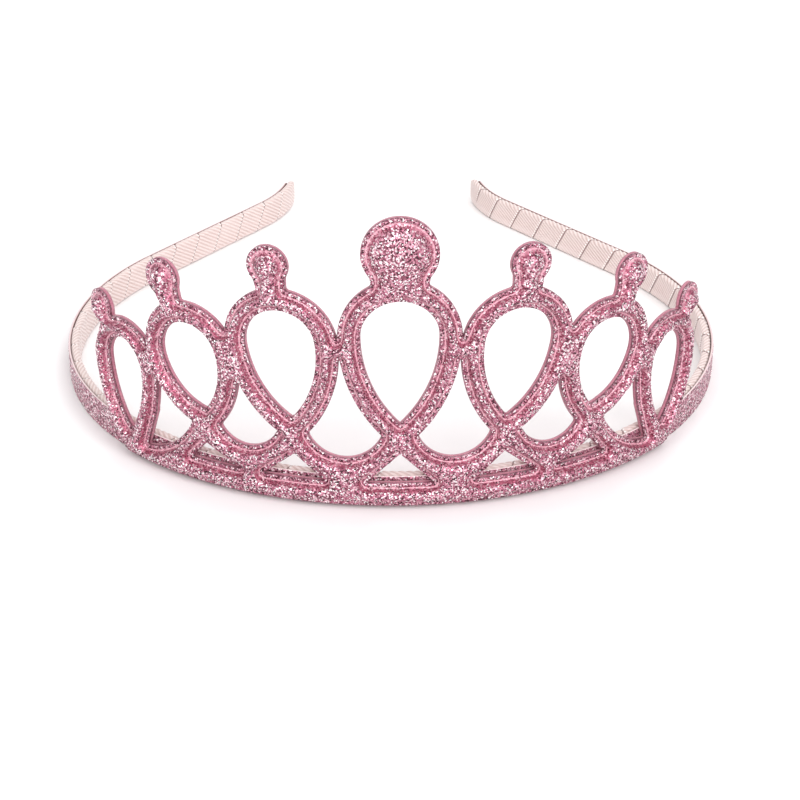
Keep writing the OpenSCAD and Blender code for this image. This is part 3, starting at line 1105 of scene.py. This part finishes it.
@dataclass
class FlatSheet:
    """A sheet cut to the crown's pattern, triangulated along lines that follow its outline. Millimetres."""

    pattern: CrownPattern
    spacing: float
    levels: tuple
    fill: float
    grid: float = 0.2
    reach: float = 66.0
    high: float = 54.0
    dense: float = 0.04
    back_fill: float = 1.2
    shortest: int = 10
    row_share: float = 0.87
    clear: float = 0.6
    outline: list = field(default_factory=list)

    def __post_init__(self) -> None:
        """Trace the outline and prepare the distance to it."""
        self.start = (-self.reach, 0.0)
        columns = round(2 * self.reach / self.grid) + 1
        rows = round(self.high / self.grid) + 1
        xs, zs = np.meshgrid(self.start[0] + self.grid * np.arange(columns), self.grid * np.arange(rows))
        rough = self.pattern.inside(xs, zs)
        self.outline = [evened(line, self.spacing) for line in level_lines(rough, 0.0, self.start, self.grid)]
        points = np.vstack([evened(line, self.dense) for line in self.outline])
        self.tree = kdtree.KDTree(len(points))
        for i, (x, z) in enumerate(points.tolist()):
            self.tree.insert((x, z, 0), i)
        self.tree.balance()
        self.depths = np.where(rough > 0, 1.0, -1.0)
        near = rough > -1.0
        self.depths[near] *= self.depth(xs[near], zs[near])

    def depth(self, x: np.ndarray, z: np.ndarray) -> np.ndarray:
        """Distance from each point to the outline."""
        return np.array([self.tree.find((a, b, 0))[2] for a, b in zip(x.tolist(), z.tolist())])

    def triangulate(self, levels: tuple, fill: float) -> tuple[np.ndarray, np.ndarray]:
        """Fill the outline with triangles.

        Args:
            levels: distances from the outline at which the triangles' sides follow it.
            fill: spacing of the points further inside.

        Returns:
            The points, and each triangle's corners, anticlockwise.
        """
        loops = list(self.outline)
        for level in levels:
            for line in level_lines(self.depths, level, self.start, self.grid):
                if len(line) > self.shortest:
                    loops.append(evened(line, self.spacing))
        edges, first = [], 0
        for loop in loops:
            count = len(loop)
            edges += [(first + i, first + (i + 1) % count) for i in range(count)]
            first += count
        xs, zs = np.meshgrid(np.arange(-self.reach, self.reach, fill), np.arange(0, self.high, fill * self.row_share))
        xs[::2] += fill / 2
        xs, zs = xs.ravel(), zs.ravel()
        kept = self.pattern.inside(xs, zs) > 0
        xs, zs = xs[kept], zs[kept]
        deep = self.depth(xs, zs) > (levels[-1] if levels else 0) + fill * self.clear
        points = np.vstack([*loops, np.c_[xs[deep], zs[deep]]])
        found, _, faces, *_ = geometry.delaunay_2d_cdt([Vector(p) for p in points.tolist()], edges, [], 0, 1e-5)
        flat = np.array([tuple(p) for p in found])
        corners = np.array(faces)
        middle = flat[corners].mean(axis=1)
        return flat, corners[self.pattern.inside(middle[:, 0], middle[:, 1]) > 0]

    def closed(self, top: Callable, base: float, line: BandLine) -> tuple[np.ndarray, list, dict]:
        """Give the sheet its thickness and bend it round the band's front.

        Args:
            top: turns places, heights and depths into the front face's offset.
            base: the back face's offset.
            line: the band's plan.

        Returns:
            Points in millimetres, faces, and the depth and front share of each point.
        """
        front, faces = self.triangulate(self.levels, self.fill)
        back, back_faces = self.triangulate((), self.back_fill)
        depth = self.depth(front[:, 0], front[:, 1])
        depth[depth < WELD_MM] = 0
        offset = top(front[:, 0], front[:, 1], depth)
        sides = np.vstack([faces[:, [0, 1]], faces[:, [1, 2]], faces[:, [2, 0]]])
        uses = Counter(tuple(sorted(s)) for s in sides.tolist())
        rim = [s for s in sides.tolist() if uses[tuple(sorted(s))] == 1]
        n, m = len(front), len(back)
        flat = np.vstack([front, back, front])
        offsets = np.r_[offset, np.full(m + n, base)]
        used = np.zeros(len(flat), bool)
        used[: n + m] = True
        walls = []
        for a, b in rim:
            used[[n + m + a, n + m + b]] = True
            walls.append((b, a, n + m + a, n + m + b))
        plan = line.at(flat[:, 0], offsets)
        everything = [*faces.tolist(), *(back_faces[:, ::-1] + n).tolist(), *walls]
        order = np.cumsum(used) - 1
        final = [tuple(int(order[v]) for v in f) for f in everything]
        points = np.c_[plan, flat[:, 1]][used]
        depths = np.r_[depth, np.zeros(m + n)][used]
        fronts = np.r_[np.ones(n), np.zeros(m + n)][used]
        return points, final, {"depth": depths, "front": fronts, "flat": flat[used]}


@dataclass
class CrownFace:
    """The padded glitter face: a pressed flange along every edge, a groove, and the foam pad. Millimetres."""

    pattern: CrownPattern
    line: BandLine
    inner: float = 0.7
    groove: tuple = (0.86, 0.13)
    strand_slope: tuple = (1.16, 0.14)
    bead_slope: tuple = (1.3, 0.28)
    press_profile: tuple = (
        (0.0, 0.2), (0.05, 0.36), (0.13, 0.44), (0.3, 0.46), (0.6, 0.44), (0.75, 0.38), (0.88, 0.27),
        (0.98, 0.42), (1.08, 0.8), (1.2, 1.15), (1.35, 1.45), (1.55, 1.7), (1.85, 1.85), (9.0, 1.9),
    )  # fmt: skip
    bead_profile: tuple = (
        (0.0, 0.2), (0.05, 0.36), (0.13, 0.44), (0.3, 0.46), (0.6, 0.43), (0.75, 0.34), (0.9, 0.24),
        (1.1, 0.34), (1.35, 0.62), (1.6, 1.0), (1.9, 1.35), (2.4, 1.72), (3.2, 2.05), (4.5, 2.32), (6.5, 2.45),
    )  # fmt: skip
    levels: tuple = (0.06, 0.15, 0.45, 0.7, 0.8, 0.9, 1.0, 1.1, 1.22, 1.4, 1.6)
    spacing: float = 0.3
    fill: float = 0.5
    unevenness: float = 0.03

    def height(self, x: np.ndarray, z: np.ndarray, depth: np.ndarray) -> np.ndarray:
        """Offset of the front face from the band's line at flat places."""
        strand = np.interp(depth, *np.array(self.press_profile).T)
        bead = np.interp(depth, *np.array(self.bead_profile).T)
        share = self.pattern.bead_share(x, z)
        uneven = self.unevenness * (np.sin(x * 1.9 + z * 0.7) + np.sin(z * 2.3 - x * 0.9))
        return self.inner + strand * (1 - share) + bead * share + uneven * smoothstep(1.0, 1.6, depth)

    def pressed(self, x: np.ndarray, z: np.ndarray, depth: np.ndarray) -> np.ndarray:
        """How stretched the film is, from 0 to 1: there it has fewer flakes and a lighter pink, partly a painted
        highlight.
        """
        share = self.pattern.bead_share(x, z)
        groove = peak(depth, *self.groove)
        ring = smoothstep(0.95, 1.05, depth) * (1 - smoothstep(1.2, 1.5, depth))
        return np.clip(groove + 0.35 * ring * share, 0, 1)

    def sloped(self, x: np.ndarray, z: np.ndarray, depth: np.ndarray) -> np.ndarray:
        """How much painted shade, a deeper pink, each point gets on the sloping side beside the groove, from 0 to 1.
        """
        share = self.pattern.bead_share(x, z)
        strand, bead = peak(depth, *self.strand_slope), peak(depth, *self.bead_slope)
        return np.clip(0.8 * strand * (1 - share) + 0.6 * bead * share, 0, 1)

    def build(self, material: Finish) -> Piece:
        """Build the piece.

        Args:
            material: its finish.

        Returns:
            The closed mesh, with the shares of pressing, of painted shade on the sloping sides and at the edge, and of
            flakes at each point.
        """
        sheet = FlatSheet(self.pattern, self.spacing, self.levels, self.fill)
        points, faces, facts = sheet.closed(self.height, self.inner, self.line)
        x, z = facts["flat"].T
        press = self.pressed(x, z, facts["depth"]) * facts["front"]
        # Painted shade: a deeper pink on the sloping side beside each groove.
        slope = self.sloped(x, z, facts["depth"]) * facts["front"]
        # Painted shade: a dark grey along the outline, over the cut edge's wall and the back.
        rim = 0.7 * (1 - smoothstep(0.02, 0.16, facts["depth"]))
        share = facts["front"] * (1 - press) ** 2 * (1 - 0.5 * slope) * smoothstep(0.05, 0.18, facts["depth"])
        marks = {"press": press, "slope": slope, "rim": rim, "flake_share": share}
        return solid_mesh("crown_face_padded", points, faces, marks, material)


@dataclass
class CrownFelt:
    """The felt layer behind the glitter face, cut to the same pattern. Millimetres."""

    pattern: CrownPattern
    line: BandLine
    inner: float = 0.05
    thickness: float = 0.6
    levels: tuple = (0.07, 0.2)
    spacing: float = 0.35
    fill: float = 1.0

    def height(self, x: np.ndarray, z: np.ndarray, depth: np.ndarray) -> np.ndarray:
        """Offset of the front face, with its cut edge a little rounded."""
        return self.inner + self.thickness - 0.12 * (1 - smoothstep(0.0, 0.15, depth))

    def build(self, material: Finish) -> Piece:
        """Build the piece with its finish."""
        sheet = FlatSheet(self.pattern, self.spacing, self.levels, self.fill)
        points, faces, _ = sheet.closed(self.height, self.inner, self.line)
        return solid_mesh("crown_felt", points, faces, {}, material)


@dataclass
class WrappedBand:
    """The hairband, wound in ribbon. Millimetres."""

    line: BandLine

    def build(self, tree: Tree, cloth: RibbonCloth) -> Piece:
        """Build the piece.

        Args:
            tree: the layer's Geometry Nodes tree.
            cloth: the ribbon's finish.

        Returns:
            The closed mesh of the wound ribbon.
        """
        sweep = Sweep(self.line, inner=-1.95, outer=-0.65, low=0.15, high=5.65, edge=0.45)
        winding = Winding(sweep.perimeter)
        return sweep.lay("ribbon_winding", tree, (30, 12), cloth.build(winding), winding.inputs())


@dataclass
class GlitterStrip:
    """The strip of glitter fabric glued on the band's outer face. Millimetres.

    Its loose flakes leave out the tips and the stretch that the crown hides.
    """

    line: BandLine
    hidden_half: float = 50.0
    hidden_margin: float = 0.9
    tip_margin: float = 0.5

    def build(self, tree: Tree, material: Finish) -> Piece:
        """Build the piece.

        Args:
            tree: the layer's Geometry Nodes tree.
            material: its finish.

        Returns:
            The closed mesh, with the share of flakes at each point.
        """
        sweep = Sweep(
            self.line, inner=-0.45, outer=0.0, low=0.2, high=5.6, edge=0.12, setback=0.9, tip_round=0.15, step=0.6
        )
        unwound = {"Pitch": 1.0, "Perimeter": 1.0, "Rib spacing": 1.0}
        piece = sweep.lay("glitter_strip_cloth", tree, (6, 12), material, unwound)
        mesh = piece.data
        facts = {}
        for label in ("along", "around"):
            facts[label] = np.zeros(len(mesh.vertices), np.float32)
            mesh.attributes[label].data.foreach_get("value", facts[label])
        along, around = facts["along"] / MM, facts["around"] / MM
        half = (sweep.high - sweep.low) / 2
        outer = (around < half - sweep.edge) | (around > sweep.perimeter - half + sweep.edge)
        from_front = np.abs(along - along.max() / 2)
        height = np.where(around < half, -around, sweep.perimeter - around)
        behind = (from_front < self.hidden_half) & (np.abs(height) < half - self.hidden_margin)
        share = outer & ~behind & (from_front < along.max() / 2 - self.tip_margin)
        face = np.minimum(around, sweep.perimeter - around)
        cut = smoothstep(half - 0.08, half + 0.02, face)
        # Adhesive with painted crevice shade on the strip's inner side, where it meets the band.
        glue = smoothstep(half + 0.24, half + 0.34, face)
        add_weights(mesh, {"flake_share": share, "cut": cut, "glue": glue})
        return piece


@dataclass
class Flakes:
    """Loose flakes fused on a glitter piece. Millimetres and degrees."""

    spacing: float = 0.31
    radius: float = 0.16
    thickness: float = 0.04
    tilt: float = 16.0
    crowding: float = 1.4

    def build(self, name: str, carrier: Piece, tree: Tree, material: Finish, seed: int) -> Piece:
        """Strew flakes over a piece.

        Args:
            name: the new piece's name.
            carrier: the piece that carries them.
            tree: the flakes' Geometry Nodes tree.
            material: their finish.
            seed: fixes their random places.

        Returns:
            The mesh of all the flakes.
        """
        source = placed(name + "_source", carrier.data.copy())
        values = {
            "Spacing": self.spacing * MM,
            "Density": self.crowding / (self.spacing * MM) ** 2,
            "Radius": self.radius * MM,
            "Thickness": self.thickness * MM,
            "Tilt": math.radians(self.tilt),
            "Seed": float(seed),
            "Material": material,
        }
        return grown(name, source, tree, values)


@dataclass
class Studio:
    """Floor, lights and camera. The camera is in millimetres and degrees, the floor and lamps in metres."""

    focal_px: float = 2003.87
    distance: float = 330.0
    elevation: float = 26.4
    azimuth: float = -1.6
    target: tuple = (0.0, -71.5, 20.0)
    floor_m: float = 6.0
    room_light: float = 0.62
    lit_m: tuple = (0.0, 0.0, 0.02)
    lamps: tuple = (
        ("key", (0.9, -2.0, 1.8), 56.0),
        ("fill", (-1.8, -1.8, 1.8), 22.0),
        ("back", (0.3, 2.1, 2.1), 27.0),
    )
    lamp_size_m: float = 2.0
    clip_m: float = 0.01

    def build(self) -> None:
        """Build the floor, the lights, the world and the camera."""
        mesh = bpy.data.meshes.new("floor")
        corners = [(x * self.floor_m, y * self.floor_m, 0) for x, y in ((-1, -1), (1, -1), (1, 1), (-1, 1))]
        mesh.from_pydata(corners, [], [(0, 1, 2, 3)])
        floor = placed("floor", mesh)
        floor.data.materials.append(PaleBoard().build())
        world = bpy.data.worlds.new("soft_room")
        world.use_nodes = True
        background = world.node_tree.nodes["Background"]
        background.inputs["Color"].default_value = (1, 1, 1, 1)
        background.inputs["Strength"].default_value = self.room_light
        bpy.context.scene.world = world
        bpy.context.scene.view_settings.view_transform = "Standard"
        for name, place, power in self.lamps:
            light = bpy.data.lights.new(name, "AREA")
            light.energy, light.size = power, self.lamp_size_m
            lamp = placed(name, light)
            lamp.location = place
            lamp.rotation_euler = (Vector(self.lit_m) - Vector(place)).to_track_quat("-Z", "Y").to_euler()
        data = bpy.data.cameras.new("camera")
        data.sensor_width = SENSOR_MM
        data.lens = SENSOR_MM * self.focal_px / IMAGE_PX
        data.clip_start = self.clip_m
        camera = placed("camera", data)
        around, up = math.radians(self.azimuth), math.radians(self.elevation)
        towards = Vector((math.sin(around) * math.cos(up), -math.cos(around) * math.cos(up), math.sin(up)))
        target = Vector(self.target) * MM
        camera.location = target + towards * self.distance * MM
        camera.rotation_euler = (-towards).to_track_quat("-Z", "Y").to_euler()
        bpy.context.scene.camera = camera


def finish_piece(piece: Piece, slot: Slot, *nodes: str) -> None:
    """Attach a piece to its body, hide the CAD nodes that it stands for, and log its triangles.

    Args:
        piece: the piece.
        slot: its material slot; not used.
        nodes: CAD nodes that it replaces.
    """
    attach(piece, BODY)
    if nodes:
        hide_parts(*nodes)
    triangles = sum(len(p.vertices) - 2 for p in piece.data.polygons)
    log.info("%s: %d triangles", piece.name, triangles)


def main() -> None:
    """Build the headband and its studio in order."""
    logging.basicConfig(level=logging.INFO, format="%(name)s: %(message)s")
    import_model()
    line = BandLine(axis_y=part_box("glitter_strip")[0][1] / MM + BandLine.radius)
    pattern = CrownPattern()
    film, foil = GlitterFilm().build(), FlakeFoil().build()
    layers, strewing = sweep_tree(), flake_tree()

    band = WrappedBand(line).build(layers, RibbonCloth())
    finish_piece(band, Slot.RIBBON, "wrapped_band")
    strip = GlitterStrip(line).build(layers, film)
    finish_piece(strip, Slot.GLITTER, "glitter_strip")
    felt = CrownFelt(pattern, line).build(PressedFelt().build())
    finish_piece(felt, Slot.FELT, "crown_backing")
    face = CrownFace(pattern, line).build(film)
    finish_piece(face, Slot.GLITTER, "crown_face")
    for name, carrier, seed in (("crown_flakes", face, 3), ("strip_flakes", strip, 5)):
        flakes = Flakes().build(name, carrier, strewing, foil, seed)
        finish_piece(flakes, Slot.GLITTER)

    Studio().build()


if __name__ == "__main__":
    main()
